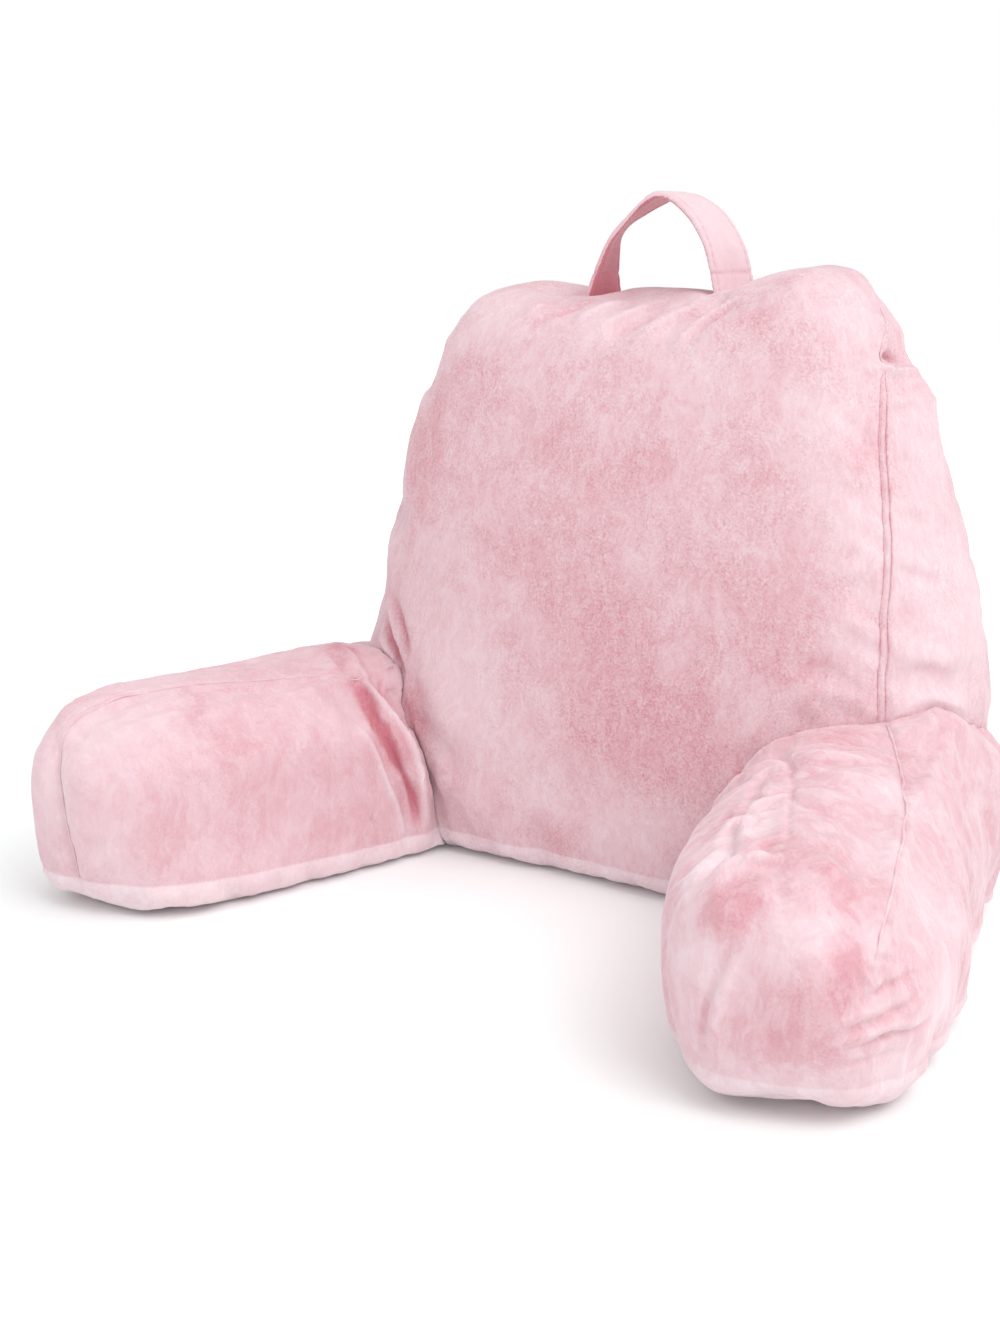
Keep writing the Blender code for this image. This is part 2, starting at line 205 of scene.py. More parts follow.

# Folds: a line on the cover, the half width of the fold, its rise (a trough where negative),
# and where it differs from the rise's own, how much painted highlight (lighter) or painted shade (deeper)
# it gets.
folds = {
    "backrest": [
        ([(84, 107, 454), (63, 93, 436), (38, 73, 403)], 4, 3.6, 0.11),
        ([(74, 97, 446), (58, 81, 422), (43, 74, 406)], 4, -3.4, -0.1),
        ([(44, 106, 446), (24, 85, 427), (5, 72, 410)], 4, 3.4, 0.11),
        ([(23, 102, 443), (3, 88, 429), (-17, 76, 412)], 3, -3, -0.08),
        ([(-4, 106, 446), (-18, 90, 430), (-34, 80, 414)], 3, 2.4, 0.09),
        ([(-30, 118, 449), (-42, 93, 435), (-55, 82, 420)], 4, 3, 0.1),
        ([(-52, 109, 446), (-75, 90, 430), (-105, 78, 411)], 3, -2.6, -0.07),
        ([(-83, 98, 443), (-92, 90, 434), (-102, 85, 426)], 3, 2.2, 0.07),
        ([(222, 75, 173), (236, 89, 171), (248, 147, 155)], 6, 4),
        ([(222, 78, 188), (238, 98, 186), (248, 140, 172)], 6, -3.4),
        ([(208, 85, 262), (226, 100, 256), (238, 130, 248)], 5, -2.2),
        ([(206, 92, 300), (219, 105, 297), (229, 135, 292)], 5, -2.2),
        ([(193, 106, 368), (196, 130, 370), (197, 155, 366)], 5, -2.6),
        ([(197, 100, 335), (208, 118, 334), (214, 145, 330)], 5, -2),
        ([(176, 128, 405), (176, 146, 405), (179, 164, 404)], 3, -5, -0.26),
        ([(174, 104, 399), (178, 130, 395), (180, 152, 393), (182, 180, 391)], 3.5, 5, 0.12),
        ([(156, 33, 142), (128, 27, 112), (114, 25, 91), (106, 24, 68)], 7, -0.6, -0.18),
        ([(-242, 70, 172), (-222, 54, 160), (-197, 37, 150)], 4, 3, 0.06),
        ([(-232, 66, 184), (-212, 52, 166), (-180, 30, 134)], 6, -4.8, -0.4),
        ([(-224, 65, 197), (-211, 56, 179), (-186, 38, 150)], 3, 3.2, 0.14),
        ([(-214, 62, 205), (-198, 48, 182), (-176, 34, 154)], 5, -3.4, -0.28),
        ([(-186, 32, 138), (-172, 26, 112), (-158, 30, 70)], 6, -3, -0.2),
        ([(-178, 36, 156), (-165, 28, 125), (-157, 26, 98), (-148, 26, 70)], 11, -0.4, -0.15),
    ],
    "arm_left": [
        ([(-212, -2, 151), (-189, -16, 138), (-174, -20, 117), (-163, -15, 96), (-158, -7, 72)], 6.4,
          -6.2, -0.42),
        ([(-170, -18, 106), (-159, -8, 76), (-155, 1, 49), (-153, 6, 18)], 3.4, -4.6, -0.36),
        ([(-200, 14, 151), (-173, 4, 130), (-158, 8, 102), (-150, 13, 64)], 2.2, -2.6, -0.24),
        ([(-264, 24, 153), (-238, 19, 153), (-214, 9, 151)], 8, -1, -0.22),
        ([(-214, 10, 152), (-186, -6, 141), (-168, -9, 121), (-157, -2, 94), (-152, 5, 60),
          (-149, 11, 12)], 2.8, 4.4, 0.36),
        ([(-186, -42, 116), (-175, -31, 86), (-166, -18, 52), (-159, -6, 12)], 2.8, 3.6, 0.26),
        ([(-250, 12, 153), (-224, -2, 152), (-206, -12, 147)], 5, -4),
        ([(-262, 32, 153), (-240, 18, 153), (-216, 8, 150), (-196, 2, 145)], 4, 3.4),
        ([(-196, -66, 140), (-186, -74, 105), (-178, -64, 65)], 7, -1.8),
        ([(-177, -50, 70), (-170, -42, 45), (-163, -30, 26)], 3, -2),
    ],
    "arm_right": [
        ([(195, 2, 149), (222, 10, 152), (244, 6, 152)], 4, -1.4),
        ([(199, -36, 151), (222, -18, 152), (255, -9, 152)], 2.6, 1.4, 0.08),
        ([(203, -46, 151), (230, -32, 152), (260, -20, 152)], 2.4, -1.4, -0.07),
        ([(207, -55, 151), (236, -44, 153), (265, -31, 151)], 2.4, 1.3, 0.08),
        ([(211, -65, 152), (238, -53, 153), (270, -42, 150)], 2.4, -1.5, -0.08),
        ([(214, -74, 152), (240, -62, 153), (274, -53, 150)], 2.4, 1.5, 0.1),
        ([(222, -86, 153), (248, -74, 154), (279, -62, 149)], 2.4, -1.4, -0.07),
        ([(228, -96, 154), (256, -86, 155), (284, -72, 149)], 2.4, 1.4, 0.08),
        ([(240, -118, 154), (263, -105, 154), (288, -88, 148)], 2.6, -1.1),
        ([(243, -136, 154), (263, -137, 154), (283, -129, 152)], 3, -1.2),
        ([(266, -172, 152), (276, -164, 153), (290, -152, 152)], 3, 1),
        ([(198, -59, 148), (189, -68, 142), (182, -82, 138)], 3, 2.2, 0.1),
        ([(192, -46, 148), (180, -54, 140), (172, -66, 130)], 3.4, -2.6, -0.16),
        ([(237, -118, 154), (225, -140, 151), (219, -153, 147), (220, -168, 144), (222, -187, 142)], 2.6,
          2.6, 0.13),
        ([(234, -113, 154), (226, -124, 152), (216, -130, 147), (209, -142, 142)], 3, -2.4, -0.14),
        ([(244, -152, 153), (236, -160, 151), (230, -170, 149), (226, -180, 144)], 2.2, 1.4, 0.07),
        ([(241, -161, 152), (237, -174, 150), (233, -187, 147)], 2.2, -1.4, -0.07),
        ([(265, -188, 151), (257, -196, 150), (250, -216, 144)], 2.2, 1.4, 0.07),
        ([(269, -194, 151), (262, -200, 150), (256, -210, 148)], 2.2, -1.4, -0.08),
        ([(273, -206, 149), (266, -214, 147), (257, -220, 145), (250, -230, 139)], 2.4, -1.8, -0.09),
        ([(275, -211, 148), (266, -221, 146), (261, -230, 142), (258, -240, 136)], 2.8, 2.2, 0.1),
        ([(277, -220, 147), (271, -224, 145), (266, -232, 142)], 2.2, -1.4, -0.08),
        ([(222, -232, 118), (228, -222, 130), (236, -212, 139), (244, -200, 146)], 10, 0.4, 0.13),
        ([(198, -118, 145), (203, -148, 140), (206, -165, 135), (210, -190, 127)], 5, -1, -0.18),
        ([(243, -246, 124), (250, -232, 140), (266, -221, 147), (282, -216, 147)], 4, 3, 0.1),
        ([(338, -240, 81), (342, -216, 85), (342, -181, 84)], 2.4, -2.1, -0.1),
        ([(325, -252, 63), (340, -236, 69), (343, -182, 70)], 2.4, -2.1, -0.1),
        ([(328, -250, 53), (341, -217, 58), (341, -170, 56)], 2.4, -1.9, -0.08),
        ([(316, -254, 40), (338, -232, 46), (344, -192, 45)], 2.4, -1.4, -0.06),
        ([(325, -252, 70), (338, -240, 75), (344, -205, 77)], 2.6, 1.7, 0.09),
        ([(322, -252, 57), (340, -230, 63), (343, -185, 63)], 2.6, 1.5, 0.08),
        ([(272, -256, 106), (265, -257, 92), (258, -257, 71), (253, -255, 45), (248, -249, 28)], 3, -1.9,
          -0.12),
        ([(275, -256, 104), (269, -257, 86), (263, -257, 66), (259, -256, 46)], 4, 3, 0.1),
        ([(262, -252, 117), (281, -250, 124), (300, -245, 129), (319, -237, 128), (334, -213, 119)], 6,
          -0.9),
        ([(338, -228, 108), (343, -216, 101), (344, -195, 95)], 2.5, -1.4),
        ([(334, -236, 100), (341, -226, 92), (344, -212, 86)], 2.5, 1.3),
    ],
}

# Brushed pile: where its nap lies lighter or deeper in colour, with painted light and shade among it (the
# lit right side and highlights painted paler, hollows and sides turned from the light painted deeper): x,
# y, z, radius, amount.
napAndLightPatches = {
    "backrest": [
        (-185, 75, 340, 23, -0.7), (-185, 65, 300, 20, -0.7), (-5, 45, 290, 39, -0.3),
        (75, 45, 270, 23, -0.2), (20, 30, 185, 43, -0.6), (85, 25, 125, 33, -0.9),
        (15, 20, 125, 28, -0.6), (-35, 35, 220, 35, -0.3), (140, 55, 250, 27, -0.4),
        (160, 50, 195, 22, -0.4), (25, 50, 330, 28, -0.3), (-50, 55, 345, 23, -0.3),
        (-135, 70, 380, 28, -0.3), (-35, 30, 35, 19, -0.6), (-150, 50, 240, 23, 0.3),
        (-140, 35, 170, 28, 0.6), (-105, 25, 120, 35, 0.8), (-45, 25, 70, 28, 0.5), (45, 25, 60, 31, 0.5),
        (120, 35, 165, 23, 0.2), (-130, 85, 430, 26, 0.6), (-20, 90, 435, 31, 0.4),
        (155, 115, 435, 26, 0.7), (160, 80, 360, 26, 0.5), (175, 70, 295, 23, 0.5),
        (190, 60, 210, 23, 0.6), (110, 85, 425, 23, -0.2), (60, 70, 400, 28, 0.2),
        (-80, 45, 290, 31, -0.2), (200, 150, 350, 26, 0.9), (230, 130, 265, 26, 0.9),
        (240, 125, 205, 26, 0.8), (222, 92, 180, 30, 0.7), (216, 98, 280, 30, 0.6),
        (245, 160, 220, 34, 0.7), (50, 25, 125, 23, -0.5), (115, 40, 205, 28, -0.3),
        (-185, 50, 205, 19, 0.3),
    ],
    "arm_left": [
        (-285, -155, 155, 23, 0.3), (-295, -35, 150, 20, 0.2), (-240, 20, 155, 14, -0.8),
        (-180, -5, 140, 14, -1.0), (-160, -10, 95, 16, -1.0), (-155, 0, 50, 11, -1.0),
        (-265, -235, 135, 26, 0.6), (-240, -200, 140, 23, 0.5), (-205, -180, 100, 26, -0.1),
        (-195, -145, 80, 33, -0.2), (-180, -90, 85, 26, -0.2), (-175, -75, 35, 23, -0.2),
        (-215, -200, 60, 20, -0.2), (-245, -245, 55, 22, 0.3), (-190, -90, 125, 22, 0.2),
        (-285, -245, 90, 20, 0.7), (-175, -40, 115, 16, 0.3), (-165, -40, 50, 16, -0.2),
    ],
    "arm_right": [
        (263, -251, 121, 9, -1.8), (272, -246, 131, 8, -1.2), (335, -237, 106, 11, -0.9),
        (328, -247, 96, 13, -0.5), (305, -255, 75, 26, -0.5), (285, -255, 60, 19, -0.3),
        (325, -250, 50, 20, -0.1), (285, -225, 145, 20, -0.3), (320, -215, 135, 23, -0.5),
        (235, -235, 125, 11, 1.0), (230, -220, 135, 11, 1.0), (230, -190, 145, 11, 1.0),
        (240, -175, 150, 11, 1.0), (250, -255, 95, 14, 0.7), (270, -255, 85, 14, 0.6),
        (305, -250, 115, 19, 0.6), (320, -245, 120, 12, 0.4), (285, -70, 145, 19, 0.6),
        (335, -130, 105, 23, 0.7), (340, -140, 50, 20, 0.8), (205, 5, 155, 16, -0.5),
        (205, 55, 150, 16, -0.5), (245, -85, 155, 17, -0.2), (335, -215, 110, 9, 0.9),
        (315, -155, 140, 14, 0.5), (260, -255, 35, 17, 0.4), (345, -210, 40, 19, 0.5),
        (305, -245, 30, 20, 0.5),
    ],
}

# Soft corrections of the form: x, y, z, radius, move.
nudges = {
    "backrest": [
        (-135, 120, 445, 38, (0, 0, -6)), (-80, 140, 458, 45, (0, 0, -5)), (0, 140, 458, 45, (0, 0, -5)),
        (125, 130, 465, 35, (0, 0, -3)), (208, 165, 382, 36, (13, 3, 0)), (195, 178, 402, 22, (12, 0, 2)),
        (-205, 120, 385, 45, (9, 0, -3)), (-242, 94, 262, 30, (-3, 0, 0)), (-254, 78, 195, 40, (9, 2, 0)),
        (-165, 20, 125, 34, (-11, -7, -3)), (200, 176, 388, 18, (8, 0, 0)),
        (248, 185, 205, 45, (-6, 0, 0)),
    ],
    "arm_left": [
        (-235, 35, 158, 30, (0, 0, 4)), (-330, -190, 140, 55, (0, -2, 15)),
        (-315, -110, 150, 55, (0, 0, 10)), (-295, -20, 155, 50, (0, 0, 4)),
        (-340, -240, 60, 50, (5, 2, 0)), (-236, -256, 6, 36, (-4, 16, 2)),
        (-180, -182, 6, 50, (5, -5, 0)), (-345, -225, 10, 36, (8, 6, 1)),
        (-165, 20, 125, 34, (-11, -7, -3)),
    ],
    "arm_right": [
        (262, 85, 152, 45, (-4, 0, 16)), (345, -245, 110, 35, (-4, 4, 0)),
        (345, -245, 10, 50, (-9, 10, 3)), (350, -250, 15, 80, (-5, 6, 0)), (218, -246, 8, 36, (6, 13, 1)),
        (300, 70, 90, 70, (-13, -5, 0)), (330, -70, 22, 60, (5, 0, 0)), (352, -190, 70, 45, (6, -2, 0)),
    ],
}

coverSettings = {
    # cell size, spare cloth, the most that the cloth may move, filling
    "backrest": dict(voxel=0.0066, spare=0.05, cap=0.007, fill=0.8),
    "arm_left": dict(voxel=0.0045, spare=0.05, cap=0.006, fill=0.85),
    "arm_right": dict(voxel=0.0048, spare=0.08, cap=0.007, fill=0.8),
}
neighbours = {
    "backrest": ("arm_left", "arm_right", "handle"),
    "arm_left": ("backrest",),
    "arm_right": ("backrest",),
}
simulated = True
armReach = 0.24  # how far the arms run ahead of the back
# painted shade in a seam's groove and in the crease where each arm meets the back (painted lighter where
# negative), less on the stretch that is lit
grooveShade = dict(
    seam=0.08, arm_left=-0.16, arm_right=0.14, contactReach=0.008, litFrom=0.195, litOver=0.03,
    litLeast=0.15)


def evenCopy(nodeName, name, settings):
    # a copy of a solid, merged and divided into even cells
    solid = bmesh.new()
    solid.from_mesh(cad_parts[nodeName].data)
    bmesh.ops.remove_doubles(solid, verts=solid.verts, dist=0.00001)
    data = bpy.data.meshes.new(name)
    solid.to_mesh(data)
    solid.free()
    made = addObject(name, data)
    cells = made.modifiers.new("evenCells", "REMESH")
    cells.mode = "VOXEL"
    cells.voxel_size = settings["voxel"]
    soften = made.modifiers.new("soften", "SMOOTH")
    soften.factor = 0.5
    soften.iterations = 3
    bakeModifiers(made)
    return made


def nodeTree(nodeName):
    solid = bmesh.new()
    solid.from_mesh(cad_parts[nodeName].data)
    tree = BVHTree.FromBMesh(solid)
    solid.free()
    return tree


def paintGroup(cover, name, weights):
    group = cover.vertex_groups.new(name=name)
    for index, weight in enumerate(weights):
        group.add([index], float(weight), "REPLACE")


clothSettings = dict(
    pressure=3.0, quality=4, mass=0.12, stretch=12, shear=4, bend=0.15, damping=2.5, shrink=0.02, frames=20,
    seamStep=0.003, seamReach=0.016, seamFull=1.3, seamFade=0.01, seamHold=0.85, looseSeam=0.05,
    lookFor=0.03, gapShare=0.35, gapKept=0.001, floorShare=0.5, floorKept=0.004, heldRoom=0.003)


def inflate(cover, nodeName, settings):
    # the filling pushes the cover out, the seams hold it in, and the spare cloth between them puckers
    use = clothSettings
    start, normals, tree = readPoints(cover), readNormals(cover), surfaceTree(cover)
    atSeam = np.zeros(len(start))
    for seam in [seam for seam in seams[nodeName] if not seam.get("slack")]:
        line, lineNormals = laidLine(tree, seam["at"], use["seamStep"])
        found = nearLine(start, line, lineNormals, use["seamReach"])
        if found is not None:
            vertices, away = found[:2]
            hold = np.clip(use["seamFull"] - away / use["seamFade"], 0, 1)
            atSeam[vertices] = np.maximum(atSeam[vertices], hold)
    room = np.full(len(start), settings["cap"])
    for other in neighbours[nodeName]:
        otherTree = nodeTree(other)
        far = use["lookFor"]
        gaps = np.array([otherTree.find_nearest(Vector(point), far)[3] or far for point in start])
        room = np.minimum(room, use["gapShare"] * np.clip(gaps - use["gapKept"], 0, None))
    room = np.minimum(room, use["floorShare"] * np.clip(start[:, 2] - use["floorKept"], 0, None))
    room *= 1 - use["seamHold"] * atSeam
    held = np.clip(1 - room / use["heldRoom"], 0, 1) * (atSeam < use["looseSeam"])
    paintGroup(cover, "held", held)
    paintGroup(cover, "sewn", atSeam)
    cloth = cover.modifiers.new("plushCloth", "CLOTH")
    cloth.settings.quality = use["quality"]
    cloth.settings.mass = use["mass"]
    cloth.settings.tension_stiffness = use["stretch"]
    cloth.settings.compression_stiffness = use["stretch"]
    cloth.settings.shear_stiffness = use["shear"]
    cloth.settings.bending_stiffness = use["bend"]
    cloth.settings.air_damping = use["damping"]
    cloth.settings.use_pressure = True
    cloth.settings.uniform_pressure_force = use["pressure"]
    cloth.settings.vertex_group_mass = "held"
    cloth.settings.pin_stiffness = 1.0
    cloth.settings.vertex_group_shrink = "sewn"
    cloth.settings.shrink_min = -settings["spare"]
    cloth.settings.shrink_max = use["shrink"]
    cloth.settings.effector_weights.gravity = 0
    cloth.collision_settings.use_collision = False
    for number in range(1, use["frames"] + 1):
        scene.frame_set(number)
    bakeModifiers(cover)
    scene.frame_set(1)
    cover.vertex_groups.clear()
    swell = np.sum((readPoints(cover) - start) * normals, axis=1)
    writePoints(cover, start + normals * np.clip(swell, -room, room)[:, None])


def divide(cover):
    finer = cover.modifiers.new("finer", "SUBSURF")
    finer.levels = 1
    finer.render_levels = 1
    bakeModifiers(cover)


# a fold's rise is made greater by gain, and shade is how much lighter a ridge of shadeRise is painted
foldShape = dict(gain=1.35, reach=3, fade=1.1, shade=0.055, shadeRise=0.003)


def pressFolds(cover, rows):
    # raises and sinks the folds, and returns their painted light and shade: ridges painted lighter, troughs
    # painted deeper
    points, normals, tree = readPoints(cover), readNormals(cover), surfaceTree(cover)
    moves = np.zeros(len(points))
    shade = np.zeros(len(points))
    for waypoints, halfWidth, rise, *ownShade in rows:
        halfWidth, rise = halfWidth / 1000, rise / 1000
        line, lineNormals = laidLine(tree, waypoints)
        found = nearLine(points, line, lineNormals, foldShape["reach"] * halfWidth)
        if found is None:
            continue
        vertices, away, distance, _, length = found
        fade = np.sin(np.pi * np.clip(distance / length, 0.0, 1.0)) ** foldShape["fade"]
        profile = fade * np.exp(-(away / halfWidth) ** 2)
        moves[vertices] += foldShape["gain"] * rise * profile
        if ownShade:
            shade[vertices] += ownShade[0] * fade * np.exp(-(away / halfWidth) ** 4)
        else:
            shade[vertices] += foldShape["shade"] * rise / foldShape["shadeRise"] * profile
    writePoints(cover, points + normals * moves[:, None])
    return shade


seamShape = dict(
    grooveDepth=0.0022, grooveWidth=0.0028, lineWidth=0.0013, endFade=0.012, endLeast=0.15,
    gatherReach=0.018, gatherLength=0.0042, gatherSlant=0.35, gatherShare=(0.45, 0.55), gatherSpread=0.03,
    gatherStart=0.003, gatherCurve=1.5, shadeRise=0.001)


def sewSeams(cover, rows, seed):
    # sinks each seam's groove and gathers the cloth on either side of it, and returns its painted shade:
    # the groove deeper, the gathers' ridges lighter and troughs deeper
    sewn = seamShape
    points, normals, tree = readPoints(cover), readNormals(cover), surfaceTree(cover)
    moves = np.zeros(len(points))
    shade = np.zeros(len(points))
    for index, seam in enumerate(rows):
        line, lineNormals = laidLine(tree, seam["at"])
        found = nearLine(points, line, lineNormals, 2 * sewn["gatherReach"])
        if found is None:
            continue
        vertices, away, distance, side, length = found
        ends = np.clip(np.minimum(distance, length - distance) / sewn["endFade"], sewn["endLeast"], 1)
        beside = away - seam.get("twin", 0) / 1000
        groove = -sewn["grooveDepth"] * np.exp(-(beside / sewn["grooveWidth"]) ** 2)
        # painted shade along the seam's groove
        shade[vertices] -= grooveShade["seam"] * ends * np.exp(-(beside / sewn["lineWidth"]) ** 2)
        lean = distance / sewn["gatherLength"] + sewn["gatherSlant"] * side * away / sewn["gatherLength"]
        leftGather, rightGather = seam["gather"]
        gather = np.where(side > 0, rightGather, leftGather) / 1000
        ripple = waves(lean, seed + 10 * index) * gather
        least, spare = sewn["gatherShare"]
        strength = least + spare * waves(distance / sewn["gatherSpread"], seed + 10 * index + 5) ** 2
        shape = np.clip(away / sewn["gatherStart"], 0, 1)
        shape = shape * np.exp(-(away / sewn["gatherReach"]) ** sewn["gatherCurve"])
        moves[vertices] += ends * (groove + ripple * strength * shape)
        # painted light and shade on the gathers: ridges lighter, troughs deeper
        shade[vertices] += foldShape["shade"] * ends * ripple * strength * shape / sewn["shadeRise"]
    writePoints(cover, points + normals * moves[:, None])
    return shade


def setAttribute(cover, name, values):
    layer = cover.data.attributes.new(name, "FLOAT", "POINT")
    layer.data.foreach_set("value", np.asarray(values, np.float32))


baseSeam = dict(
    low=0.02, frontRise=0.009, frontCurve=1.5, grooveDepth=0.0012, grooveWidth=0.0035,
    bulge=0.003, bulgeBelow=0.008, bulgeWidth=0.011, floorFade=0.006)


def aheadShare(points):
    # 0 at the back, 1 at the arms' ends
    return np.clip(-points[:, 1] / armReach, 0, 1)


def aboveBaseSeam(points):
    # height over the seam that joins the base panel to the sides
    rise = baseSeam["frontRise"] * aheadShare(points) ** baseSeam["frontCurve"]
    return points[:, 2] - baseSeam["low"] - rise


refining = dict(reach=0.011, step=0.004, smooth=0.6, soften=0.4, passes=2)


def refineNear(cover, nodeName):
    # smaller cells along the seams and the folds
    lines = [seam["at"] for seam in seams[nodeName]] + [row[0] for row in folds[nodeName]]
    places = [point for line in lines for point in smoothLine(line, refining["step"])]
    finder = KDTree(len(places))
    for index, place in enumerate(places):
        finder.insert(place, index)
    finder.balance()
    cells = bmesh.new()
    cells.from_mesh(cover.data)
    inReach = {vertex for vertex in cells.verts if finder.find(vertex.co)[2] < refining["reach"]}
    edges = [edge for edge in cells.edges if edge.verts[0] in inReach and edge.verts[1] in inReach]
    bmesh.ops.subdivide_edges(cells, edges=edges, cuts=1, use_grid_fill=True, smooth=refining["smooth"])
    refined = [vertex for vertex in cells.verts if finder.find(vertex.co)[2] < refining["reach"]]
    for _ in range(refining["passes"]):
        bmesh.ops.smooth_vert(
            cells, verts=refined, factor=refining["soften"],
            use_axis_x=True, use_axis_y=True, use_axis_z=True)
    cells.to_mesh(cover.data)
    cells.free()


# the lower edge spreads on the floor, less so towards the arms' ends
settling = dict(share=0.85, easing=0.2, reach=0.028, lowest=0.0003)


def nudge(cover, rows):
    # the filling's weight spreads the lower edge on the floor, and then the form is corrected softly
    points = readPoints(cover)
    share = settling["share"] - settling["easing"] * aheadShare(points) ** 2
    points[:, 2] *= 1 - share * np.exp(-(points[:, 2] / settling["reach"]) ** 2)
    for x, y, z, radius, move in rows:
        away = np.linalg.norm(points - np.array([x, y, z]) / 1000, axis=1)
        points = points + np.exp(-(away / (radius / 1000)) ** 2)[:, None] * (np.array(move) / 1000)
    points[:, 2] = np.maximum(points[:, 2], settling["lowest"])
    writePoints(cover, points)


def turnBase(cover):
    # the base panel's edge turns up plump below its seam
    points, normals = readPoints(cover), readNormals(cover)
    above = aboveBaseSeam(points)
    groove = -baseSeam["grooveDepth"] * np.exp(-(above / baseSeam["grooveWidth"]) ** 2)
    low = np.clip(points[:, 2] / baseSeam["floorFade"], 0, 1)
    belowSeam = (above + baseSeam["bulgeBelow"]) / baseSeam["bulgeWidth"]
    plump = baseSeam["bulge"] * low * np.exp(-belowSeam ** 2)
    outward = normals * np.array([1, 1, 0])
    writePoints(cover, points + outward * (groove + plump)[:, None])


painting = dict(patchSpread=1.2, patchMost=1.5, shadeRange=(-0.42, 0.36), seamFar=0.03)


def paintNapAndShade(cover, nodeName, shade):
    # stores the nap patches with their painted light and shade, and the painted shade and highlights of
    # folds, seams and creases
    points = readPoints(cover)
    napAndShade = np.zeros(len(points))
    for x, y, z, radius, amount in napAndLightPatches[nodeName]:
        away = np.linalg.norm(points - np.array([x, y, z]) / 1000, axis=1)
        napAndShade += amount * np.exp(-(away / (painting["patchSpread"] * (radius / 1000))) ** 2)
    far = painting["seamFar"]
    setAttribute(cover, "napAndShade", np.clip(napAndShade, -painting["patchMost"], painting["patchMost"]))
    setAttribute(cover, "foldShade", np.clip(shade, *painting["shadeRange"]))
    setAttribute(cover, "aboveBaseSeam", np.clip(aboveBaseSeam(points), -far, far))


weltSettings = dict(
    radius=0.0011, twinRadius=0.0007, stand=0.25, taper=8, tip=0.15, twinTip=0.3, thick=0.9, uneven=0.25,
    step=0.003, above=0.01, deep=0.03, shade=0.1, twinShade=-0.09)


def seamWelt(cover, seam, side=0):
    # the thin turned edge of cloth in the seam; a twin seam has one on either side of its line
    use = weltSettings
    tree = surfaceTree(cover)
    line, normals = laidLine(tree, seam["at"], use["step"])
    radius = use["twinRadius"] if side else use["radius"]
    name = cover.name + "_" + seam["name"] + {-1: "_a", 0: "", 1: "_b"}[side]
    path = bpy.data.curves.new(name, "CURVE")
    path.dimensions = "3D"
    path.bevel_depth = radius
    path.bevel_resolution = 2
    path.use_fill_caps = True
    spline = path.splines.new("POLY")
    spline.points.add(len(line) - 1)
    for index, (place, normal) in enumerate(zip(line, normals)):
        fromEnd = min(index, len(line) - 1 - index) / use["taper"]
        if side:
            ahead = line[min(index + 1, len(line) - 1)] - line[max(index - 1, 0)]
            offset = side * seam["twin"] / 1000 * min(1, use["twinTip"] + fromEnd)
            beside = place + ahead.cross(normal).normalized() * offset
            hit = tree.ray_cast(beside + normal * use["above"], -normal, use["deep"])[0]
            place = hit if hit is not None else beside
        place = place + normal * radius * use["stand"]
        spline.points[index].co = (*place, 1.0)
        thickness = use["thick"] + use["uneven"] * math.sin(index * 0.9)
        spline.points[index].radius = thickness * min(1, use["tip"] + fromEnd)
    drawn = addObject("drawn", path)
    view = bpy.context.evaluated_depsgraph_get()
    welt = addObject(name, bpy.data.meshes.new_from_object(drawn.evaluated_get(view)))
    bpy.data.objects.remove(drawn)
    welt.data.shade_smooth()
    points = len(welt.data.vertices)
    setAttribute(welt, "napAndShade", np.zeros(points))
    setAttribute(welt, "aboveBaseSeam", np.full(points, painting["seamFar"]))
    # painted light and shade: a single seam's welt painted lighter as a highlight, a twin seam's welts
    # painted deeper as shade
    setAttribute(welt, "foldShade", np.full(points, use["twinShade" if side else "shade"]))
    return welt


def makeCover(nodeName, seed):
    settings = coverSettings[nodeName]
    cover = evenCopy(nodeName, nodeName + "Cover", settings)
    print(nodeName, "cells:", len(cover.data.polygons))
    if simulated:
        inflate(cover, nodeName, settings)
    divide(cover)
    nudge(cover, nudges[nodeName])
    refineNear(cover, nodeName)
    shade = pressFolds(cover, folds[nodeName])
    shade = shade + sewSeams(cover, seams[nodeName], seed)
    turnBase(cover)
    return cover, shade


meeting = dict(reach=0.028, share=0.488, climb=0.4)


def meetNeighbour(first, second, creaseShade):
    # both covers lean into the crease between them; returns the painted shade of the crease at each point
    # of the two
    moved, shades = [], []
    for cover, other in ((first, second), (second, first)):
        points, tree = readPoints(cover), surfaceTree(other)
        otherPoints = readPoints(other)
        low, high = otherPoints.min(axis=0) - meeting["reach"], otherPoints.max(axis=0) + meeting["reach"]
        shade = np.zeros(len(points))
        for vertex in np.nonzero(np.all((points > low) & (points < high), axis=1))[0]:
            place, _, _, away = tree.find_nearest(Vector(points[vertex]), meeting["reach"])
            if place is None:
                continue
            near = 1 - away / meeting["reach"]
            lean = meeting["share"] * near * near * (3 - 2 * near)
            step = (np.array(place) - points[vertex]) * lean
            points[vertex] += step * np.array([1, 1, meeting["climb"]])
            shade[vertex] = -creaseShade * math.exp(-(away / grooveShade["contactReach"]) ** 2)
        # less painted shade on the stretch that faces the light
        lit = (points[:, 0] - grooveShade["litFrom"]) / grooveShade["litOver"]
        shade *= np.clip(1 - lit, grooveShade["litLeast"], 1)
        moved.append(points)
        shades.append(shade)
    for cover, points in zip((first, second), moved):
        writePoints(cover, points)
    return shades


